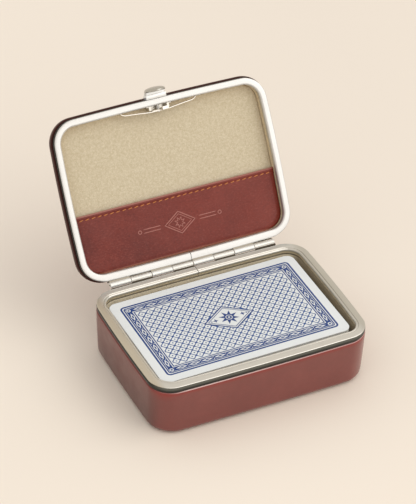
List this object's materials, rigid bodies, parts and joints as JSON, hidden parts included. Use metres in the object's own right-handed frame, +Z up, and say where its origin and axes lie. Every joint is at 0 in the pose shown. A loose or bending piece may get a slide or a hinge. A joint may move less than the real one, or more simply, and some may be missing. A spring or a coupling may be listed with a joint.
{
  "type": "leather playing card case",
  "caption": "Leather-covered rectangular card case with metal rims, hinged shallow lid with an inner pocket, push-button latch, and a lift-out deck of playing cards.",
  "frame": {"origin": "middle of the base's underside, where the case stands on a table", "axes": "+X along the hinge to the right, +Y from the front towards the hinge, +Z up; the lid is open as pictured"},
  "size_m": [0.1036, 0.1215, 0.0941],
  "materials": {
    "leather": "glossy smooth oxblood leather",
    "board": "stiff board",
    "tan_lining": "tan flocked lining",
    "beige_lining": "beige flocked lining",
    "nickel": "polished nickel plate",
    "dark_nickel": "dark polished metal",
    "spring_steel": "bright spring steel",
    "cards": "smooth coated card, printed back on the top card"
  },
  "bodies": {
    "base": {"base_leather_cover": "leather", "base_core": "board", "base_wall_lining": "tan_lining", "base_floor_pad": "tan_lining", "base_frame": "nickel", "base_trim_band": "dark_nickel", "base_hinge_leaf": "nickel", "hinge_pin": "nickel"},
    "lid": {"lid_leather_cover": "leather", "lid_core": "board", "lid_wall_lining": "tan_lining", "lid_lining_panel": "beige_lining", "pocket_panel": "leather", "lid_frame": "nickel", "lid_trim_band": "dark_nickel", "lid_hinge_leaf": "nickel", "clasp_block": "nickel", "clasp_guide": "nickel", "leaf_spring": "spring_steel"},
    "latch": {"push_button": "nickel", "button_shaft": "nickel", "latch_hook": "nickel"},
    "deck": {"card_packet_lower": "cards", "card_packet_upper": "cards", "top_card": "cards"}
  },
  "joints": [
    {"name": "lid_hinge", "type": "hinge", "parent": "base", "child": "lid", "pos_m": [0, 0.03805, 0.02595], "axis": [1, 0, 0], "range_deg": [0, 122]},
    {"name": "latch_push", "type": "slide", "parent": "lid", "child": "latch", "axis": [0, -0.5299, -0.848], "range_m": [0, 0.0009], "stiffness_N_per_m": 600, "springref_m": -0.002, "deforming": ["leaf_spring"]},
    {"name": "deck_lift", "type": "slide", "parent": "base", "child": "deck", "axis": [0, 0, 1], "range_m": [0, 0.06]}
  ]
}
